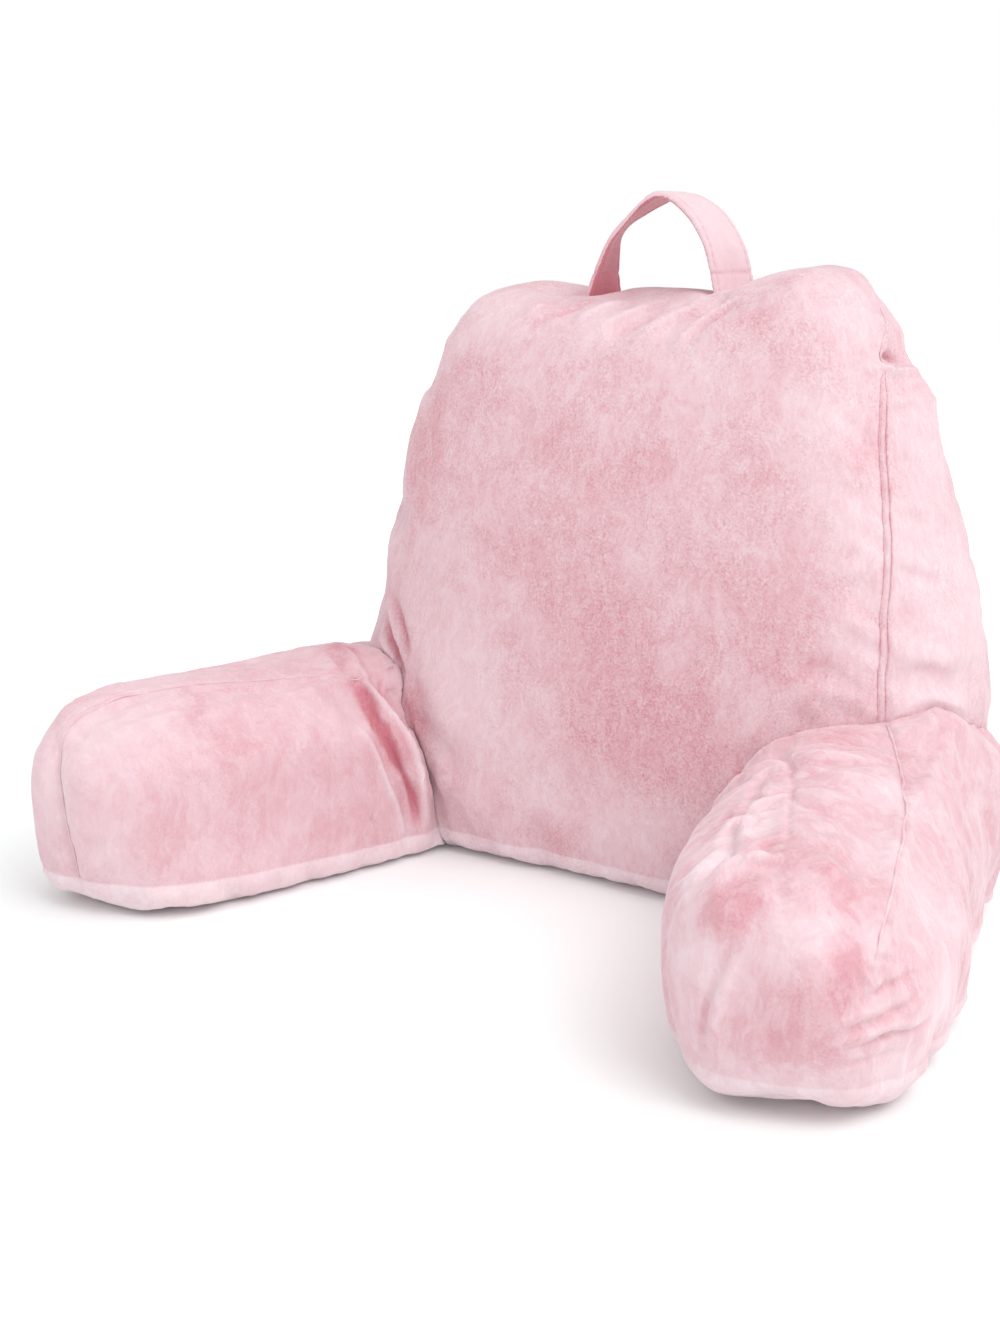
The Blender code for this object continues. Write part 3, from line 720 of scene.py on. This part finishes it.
def finishCover(cover, nodeName, shade):
    paintNapAndShade(cover, nodeName, shade)
    cover.data.shade_smooth()
    raised = [seam for seam in seams[nodeName] if not seam.get("flush")]
    sided = [(seam, side) for seam in raised for side in ((-1, 1) if "twin" in seam else (0,))]
    welts = [seamWelt(cover, seam, side) for seam, side in sided]
    triangles = sum(len(face.vertices) - 2 for face in cover.data.polygons)
    print(nodeName, "cover:", triangles, "triangles,", len(welts), "seams")
    for piece in [cover] + welts:
        piece.data.materials.clear()
        piece.data.materials.append(plush[nodeName])
        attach(piece, "root")


def addNode(tree, kind, place, **values):
    made = tree.nodes.new(kind)
    made.location = place
    for name, value in values.items():
        if hasattr(made, name):
            setattr(made, name, value)
        else:
            made.inputs[name].default_value = value
    return made


def addGroup(name, inputs, outputs):
    # a shader group with named number inputs and outputs
    group = bpy.data.node_groups.new(name, "ShaderNodeTree")
    for label, value in inputs.items():
        socket = group.interface.new_socket(label, in_out="INPUT", socket_type="NodeSocketFloat")
        socket.default_value = value
    for label, kind in outputs.items():
        group.interface.new_socket(label, in_out="OUTPUT", socket_type="NodeSocket" + kind)
    return group, addNode(group, "NodeGroupInput", (-2200, 0)), addNode(group, "NodeGroupOutput", (600, 0))


def join(tree, start, output, end, socket):
    tree.links.new(start.outputs[output], end.inputs[socket])


def mathNode(tree, operation, place, first, second=None):
    # each value is a number or a (node, output) pair
    made = addNode(tree, "ShaderNodeMath", place, operation=operation)
    for index, value in enumerate((first, second)):
        if isinstance(value, tuple):
            tree.links.new(value[0].outputs[value[1]], made.inputs[index])
        elif value is not None:
            made.inputs[index].default_value = value
    return made


def noiseNode(tree, place, vector, grain):
    scale, detail, roughness = grain
    made = addNode(tree, "ShaderNodeTexNoise", place, Scale=scale, Detail=detail, Roughness=roughness)
    tree.links.new(vector[0].outputs[vector[1]], made.inputs["Vector"])
    return made


def rangeNode(tree, place, source, fromRange, toRange, kind="SMOOTHSTEP"):
    # source is a (node, output) pair
    made = addNode(tree, "ShaderNodeMapRange", place, interpolation_type=kind)
    for label, value in zip(("From Min", "From Max", "To Min", "To Max"), (*fromRange, *toRange)):
        made.inputs[label].default_value = value
    tree.links.new(source[0].outputs[source[1]], made.inputs["Value"])
    return made


def weighted(tree, place, source, middle, strength):
    # (source - middle) * strength
    centred = mathNode(tree, "SUBTRACT", place, source, middle)
    return mathNode(tree, "MULTIPLY", (place[0] + 180, place[1]), (centred, 0), strength)


# the pile's noises as scale, detail and roughness, and the ranges that make patches, dabs and tufts of them
pileShape = dict(
    drift=(22.0, 2.0, 0.5), driftReach=0.035, turn=(0.35, 0.6, 0.2), stretch=(1.0, 1.0, 0.4),
    mottle=(26.0, 7.0, 0.72), dabs=(95.0, 3.0, 0.6), strokes=(330.0, 3.0, 0.7), clumps=(34.0, 4.0, 0.6),
    tufts=(560.0, 2.0, 0.6), patchEdge=(-0.8, 0.8), dabEdge=(0.47, 0.57), standEdge=(-0.16, 0.16),
    standing=(0.25, 1.4), lean=-0.1, strokeHeight=0.6)


def makeNapGroup(shape):
    # brushed pile as lightness and height: feathered patches (the nap with its painted light and shade),
    # crisp dabs, hair strokes and standing tufts
    group, inputs, outputs = addGroup(
        "brushedPile",
        {"Patches": 0.0, "Patch Strength": 0.25, "Feather": 1.5, "Dabs": 0.05, "Strokes": 0.3, "Tufts": 0.2,
         "Standing": 0.5},
        {"Lightness": "Float", "Height": "Float"},
    )
    where = addNode(group, "ShaderNodeTexCoord", (-2200, 400))
    drift = noiseNode(group, (-2000, 600), (where, "Object"), shape["drift"])
    driftScale = addNode(
        group, "ShaderNodeVectorMath", (-1800, 600), operation="SCALE", Scale=shape["driftReach"])
    join(group, drift, "Color", driftScale, 0)
    swept = addNode(group, "ShaderNodeVectorMath", (-1600, 500), operation="ADD")
    join(group, where, "Object", swept, 0)
    join(group, driftScale, 0, swept, 1)
    lay = addNode(group, "ShaderNodeMapping", (-1400, 500), Rotation=shape["turn"], Scale=shape["stretch"])
    join(group, swept, 0, lay, "Vector")
    mottle = noiseNode(group, (-1200, 200), (swept, 0), shape["mottle"])
    dabs = noiseNode(group, (-1200, 0), (lay, "Vector"), shape["dabs"])
    strokes = noiseNode(group, (-1200, 500), (lay, "Vector"), shape["strokes"])
    clumps = noiseNode(group, (-1200, -200), (swept, 0), shape["clumps"])
    tufts = noiseNode(group, (-1200, -400), (where, "Object"), shape["tufts"])
    # patches with feathered, fairly crisp edges
    feather = weighted(group, (-1000, 200), (mottle, "Fac"), 0.5, (inputs, "Feather"))
    feathered = mathNode(group, "ADD", (-700, 700), (inputs, "Patches"), (feather, 0))
    edged = rangeNode(group, (-500, 700), (feathered, 0), shape["patchEdge"], (-1.0, 1.0))
    dabbed = rangeNode(group, (-700, 0), (dabs, "Fac"), shape["dabEdge"], (-0.5, 0.5))
    # where the pile stands it is deeper and its tufts show
    lean = mathNode(group, "MULTIPLY", (-1000, -600), (edged, "Result"), shape["lean"])
    clump = weighted(group, (-1000, -250), (clumps, "Fac"), 1.0, 1.0)
    clumped = mathNode(group, "ADD", (-850, -600), (clump, 0), (lean, 0))
    stood = mathNode(group, "ADD", (-800, -250), (clumped, 0), (inputs, "Standing"))
    upright = rangeNode(group, (-700, -200), (stood, 0), shape["standEdge"], shape["standing"])
    tuftGain = mathNode(group, "MULTIPLY", (-500, -300), (upright, "Result"), (inputs, "Tufts"))
    terms = [
        (mathNode(group, "MULTIPLY", (-300, 700), (edged, "Result"), (inputs, "Patch Strength")), 0),
        (mathNode(group, "MULTIPLY", (-300, 0), (dabbed, "Result"), (inputs, "Dabs")), 0),
        (weighted(group, (-900, 500), (strokes, "Fac"), 0.5, (inputs, "Strokes")), 0),
        (weighted(group, (-300, -400), (tufts, "Fac"), 0.5, (tuftGain, 0)), 0),
    ]
    total = mathNode(group, "ADD", (-100, 400), terms[0], 0.5)
    for index, term in enumerate(terms[1:]):
        total = mathNode(group, "ADD", (50 + 150 * index, 300), (total, 0), term)
    join(group, total, 0, outputs, "Lightness")
    tall = mathNode(group, "MULTIPLY", (-300, -500), (tufts, "Fac"), (upright, "Result"))
    height = mathNode(group, "MULTIPLY_ADD", (-100, -300), (strokes, "Fac"), shape["strokeHeight"])
    join(group, tall, 0, height, 2)
    join(group, height, 0, outputs, "Height")
    return group


plushSettings = dict(
    deep=(0.58, 0.20, 0.245, 1), middle=(0.73, 0.495, 0.54, 1), pale=(0.83, 0.715, 0.745, 1),
    basePale=0.26, patchStrength=0.155, feather=2.0, dabs=0.06, strokes=0.40, tufts=0.50, standing=0.5,
    roughness=0.95, sheen=0.5, sheenRoughness=0.4, sheenTint=(1.0, 0.95, 0.96, 1), specular=0.1,
    bump=0.5, bumpDistance=0.0009, baseEdge=(0.0006, -0.001), deepAt=0.05, middleAt=0.5, paleAt=0.92,
)
# how the pile lies on each piece, where it differs
pieceLay = dict(
    backrest=dict(standing=0.54),
    arm_left=dict(strokes=0.22, tufts=0.26, bump=0.35),
    arm_right=dict(strokes=0.20, tufts=0.22, bump=0.32, dabs=0.09, patchStrength=0.185, feather=2.0,
                   basePale=0.15),
    handle=dict(strokes=0.2, tufts=0.12, bump=0.3, dabs=0.03),
)


def plushMaterial(name, settings, pileGroup):
    made = bpy.data.materials.new(name)
    made.use_nodes = True
    tree = made.node_tree
    shader = tree.nodes["Principled BSDF"]
    shader.inputs["Roughness"].default_value = settings["roughness"]
    shader.inputs["Sheen Weight"].default_value = settings["sheen"]
    shader.inputs["Sheen Roughness"].default_value = settings["sheenRoughness"]
    shader.inputs["Sheen Tint"].default_value = settings["sheenTint"]
    shader.inputs["Specular IOR Level"].default_value = settings["specular"]
    # the nap patches with their painted light and shade, and the painted shade and highlights of folds,
    # seams, creases and welts
    napAndShade = addNode(tree, "ShaderNodeAttribute", (-1100, 200), attribute_name="napAndShade")
    base = addNode(tree, "ShaderNodeAttribute", (-1100, -100), attribute_name="aboveBaseSeam")
    paintedShadeAndLight = addNode(tree, "ShaderNodeAttribute", (-1100, -350), attribute_name="foldShade")
    pile = addNode(tree, "ShaderNodeGroup", (-800, 200))
    pile.node_tree = pileGroup
    for label in ("Patch Strength", "Feather", "Dabs", "Strokes", "Tufts", "Standing"):
        key = "patchStrength" if label == "Patch Strength" else label.lower()
        pile.inputs[label].default_value = settings[key]
    join(tree, napAndShade, "Fac", pile, "Patches")
    # the base panel below its seam is paler than the sides
    edge = rangeNode(
        tree, (-800, -150), (base, "Fac"), settings["baseEdge"], (0.0, settings["basePale"]), "LINEAR")
    # painted shade and highlights added to the pile's lightness
    sides = mathNode(tree, "ADD", (-700, 50), (pile, "Lightness"), (paintedShadeAndLight, "Fac"))
    lightness = mathNode(tree, "ADD", (-550, 100), (sides, 0), (edge, "Result"))
    ramp = addNode(tree, "ShaderNodeValToRGB", (-350, 200))
    ramp.color_ramp.elements[0].position = settings["deepAt"]
    ramp.color_ramp.elements[0].color = settings["deep"]
    ramp.color_ramp.elements[1].position = settings["paleAt"]
    ramp.color_ramp.elements[1].color = settings["pale"]
    ramp.color_ramp.elements.new(settings["middleAt"]).color = settings["middle"]
    join(tree, lightness, 0, ramp, "Fac")
    join(tree, ramp, "Color", shader, "Base Color")
    bump = addNode(
        tree, "ShaderNodeBump", (-350, -200), Strength=settings["bump"], Distance=settings["bumpDistance"])
    join(tree, pile, "Height", bump, "Height")
    join(tree, bump, "Normal", shader, "Normal")
    return made


pileGroup = makeNapGroup(pileShape)
plush = {name: plushMaterial(name + "Plush", {**plushSettings, **changes}, pileGroup)
         for name, changes in pieceLay.items()}
covers, shades = {}, {}
for seed, nodeName in enumerate(("backrest", "arm_left", "arm_right")):
    covers[nodeName], shades[nodeName] = makeCover(nodeName, 100 * seed)
for nodeName in ("arm_left", "arm_right"):
    backShade, armShade = meetNeighbour(covers["backrest"], covers[nodeName], grooveShade[nodeName])
    shades["backrest"] = shades["backrest"] + backShade
    shades[nodeName] = shades[nodeName] + armShade
    print(nodeName, "crease met")
for nodeName, cover in covers.items():
    finishCover(cover, nodeName, shades[nodeName])
    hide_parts(nodeName)


loopSettings = dict(
    voxel=0.0012, stitchInset=0.0048, stitchDepth=0.0009, stitchWidth=0.0011, stitchPitch=0.0042,
    stitchSlant=900, stitchShade=0.22, flat=(0.235, 0.052), footReach=0.03, footSink=0.009, footLine=0.016,
    aside=0.002, crumple=0.0005, crumpleLength=0.009, crumpleEdge=0.01, swell=0.0006, swellLength=0.021,
    swellEdge=0.012, inwardPatchShade=-0.8, outwardPatchLight=0.4, inwardShade=-0.26, outwardShade=0.02, legShade=0.15,
    legFrom=0.012, legOver=0.024)


def makeLoop(settings):
    # the folded band, its edges soft, quilted in by a row of stitches along each edge; its inner faces and
    # left leg painted deeper as shade
    loop = evenCopy("handle", "carryingLoop", settings)
    points, normals = readPoints(loop), readNormals(loop)
    lowest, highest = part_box("handle")
    middle, half = (lowest[1] + highest[1]) / 2, (highest[1] - lowest[1]) / 2
    across = points[:, 1] - middle
    along = points[:, 0] * 0.6 + points[:, 2]
    fromEdge = half - np.abs(across)
    line = fromEdge - settings["stitchInset"]
    footLine = points[:, 2] - lowest[2] - settings["footLine"]
    stitched = np.exp(-(line / settings["stitchWidth"]) ** 2)
    stitched = np.maximum(stitched, np.exp(-(footLine / settings["stitchWidth"]) ** 2))
    pitch = points[:, 2] * 2 * math.pi / settings["stitchPitch"] + points[:, 0] * settings["stitchSlant"]
    between = 0.7 + 0.3 * np.sin(pitch)
    crumple = waves(along / settings["crumpleLength"] + np.sign(across) * 2.0, 31)
    crumple = crumple * np.clip(1 - fromEdge / settings["crumpleEdge"], 0, 1)
    swell = waves(along / settings["swellLength"], 37, 5) * np.clip(fromEdge / settings["swellEdge"], 0, 1)
    moves = -settings["stitchDepth"] * stitched * between
    moves = moves + settings["crumple"] * crumple + settings["swell"] * swell
    inward = np.sum(normals * (np.array([np.mean(points[:, 0]), middle, lowest[2]]) - points), axis=1) > 0
    feet = np.clip(1 - (points[:, 2] - lowest[2]) / settings["footReach"], 0, 1)
    points = points + normals * moves[:, None]
    points[:, 2] -= settings["footSink"] * feet
    points[:, 0] -= settings["aside"]
    writePoints(loop, points)
    leftLeg = (np.mean(points[:, 0]) - settings["legFrom"] - points[:, 0]) / settings["legOver"]
    # painted shade and light: the inner faces and the left leg deeper, the stitch lines deeper, crumples
    # and swells lighter
    shade = np.where(inward, settings["inwardShade"], settings["outwardShade"])
    shade = shade - settings["legShade"] * np.clip(leftLeg, 0, 1)
    shade = shade - settings["stitchShade"] * stitched * between + 0.04 * crumple
    setAttribute(loop, "napAndShade", np.where(inward, settings["inwardPatchShade"], settings["outwardPatchLight"]) + 0.3 * swell)
    setAttribute(loop, "foldShade", shade)
    setAttribute(loop, "aboveBaseSeam", np.full(len(points), painting["seamFar"]))
    loop.data.shade_smooth()
    return loop


loop = makeLoop(loopSettings)
loop.data.materials.clear()
loop.data.materials.append(plush["handle"])
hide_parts("handle")
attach(loop, "root")
print("loop:", len(loop.data.polygons), "faces")


studioSettings = dict(
    floorSize=12.0, floorColor=(0.925, 0.955, 0.95, 1), floorRoughness=0.7,
    floorGlow=(0.03, 0.3), glowFrom=(0.55, 1.7), glowColor=(1.0, 0.995, 0.99, 1),
    worldColor=(1.0, 1.0, 1.0, 1), worldStrength=0.62,
    lights=[
        # name, position, aim, size, power, colour
        ("rightWindow", (1.6, -0.7, 1.5), (0.0, 0.0, 0.2), 1.2, 13, (1.0, 0.99, 0.98)),
        ("frontFill", (-0.9, -1.9, 1.3), (0.0, 0.0, 0.2), 1.6, 9, (1.0, 0.99, 0.99)),
    ],
    # name, direction that it comes from, angle across, strength
    skyLight=("overhead", (0.45, 0.10, 1.0), 65, 1.25),
)
cameraSettings = dict(
    target=(-0.0848, 0.0253, 0.164), azimuth=35.3, elevation=12.5, distance=1.35, lens=46.83, sensor=36,
)


def makeStudio(settings):
    sheet = bmesh.new()
    bmesh.ops.create_grid(sheet, x_segments=1, y_segments=1, size=settings["floorSize"])
    data = bpy.data.meshes.new("floor")
    sheet.to_mesh(data)
    sheet.free()
    floor = addObject("floor", data)
    paint = bpy.data.materials.new("floorPaint")
    paint.use_nodes = True
    shader = paint.node_tree.nodes["Principled BSDF"]
    shader.inputs["Base Color"].default_value = settings["floorColor"]
    shader.inputs["Roughness"].default_value = settings["floorRoughness"]
    shader.inputs["Emission Color"].default_value = settings["glowColor"]
    # the floor fades into the white surround away from the object
    where = addNode(paint.node_tree, "ShaderNodeTexCoord", (-900, 0))
    away = addNode(paint.node_tree, "ShaderNodeVectorMath", (-700, 0), operation="LENGTH")
    join(paint.node_tree, where, "Object", away, 0)
    glow = rangeNode(
        paint.node_tree, (-500, 0), (away, "Value"), settings["glowFrom"], settings["floorGlow"])
    join(paint.node_tree, glow, "Result", shader, "Emission Strength")
    data.materials.append(paint)
    # a white surround that lights the scene less than it shows
    world = bpy.data.worlds.new("studio")
    world.use_nodes = True
    surround = world.node_tree.nodes["Background"]
    surround.inputs["Color"].default_value = settings["worldColor"]
    seen = addNode(world.node_tree, "ShaderNodeLightPath", (-600, 0))
    strength = rangeNode(
        world.node_tree, (-300, 0), (seen, "Is Camera Ray"), (0.0, 1.0), (settings["worldStrength"], 1.0),
        "LINEAR")
    join(world.node_tree, strength, "Result", surround, "Strength")
    scene.world = world
    for name, place, aim, size, power, color in settings["lights"]:
        lamp = bpy.data.lights.new(name, "AREA")
        lamp.size = size
        lamp.energy = power
        lamp.color = color
        holder = addObject(name, lamp)
        holder.location = place
        holder.rotation_euler = (Vector(aim) - Vector(place)).to_track_quat("-Z", "Y").to_euler()
    name, source, across, strength = settings["skyLight"]
    sky = bpy.data.lights.new(name, "SUN")
    sky.energy = strength
    sky.angle = math.radians(across)
    holder = addObject(name, sky)
    holder.rotation_euler = (-Vector(source)).to_track_quat("-Z", "Y").to_euler()
    scene.view_settings.view_transform = "Standard"


def makeCamera(settings):
    azimuth, elevation = math.radians(settings["azimuth"]), math.radians(settings["elevation"])
    back = Vector((
        math.sin(azimuth) * math.cos(elevation),
        -math.cos(azimuth) * math.cos(elevation),
        math.sin(elevation),
    ))
    lens = bpy.data.cameras.new("camera")
    lens.sensor_width = settings["sensor"]
    lens.lens = settings["lens"]
    camera = addObject("camera", lens)
    camera.location = Vector(settings["target"]) + back * settings["distance"]
    camera.rotation_euler = (-back).to_track_quat("-Z", "Y").to_euler()
    scene.camera = camera


makeStudio(studioSettings)
makeCamera(cameraSettings)
bpy.context.view_layer.update()

print("dressed")
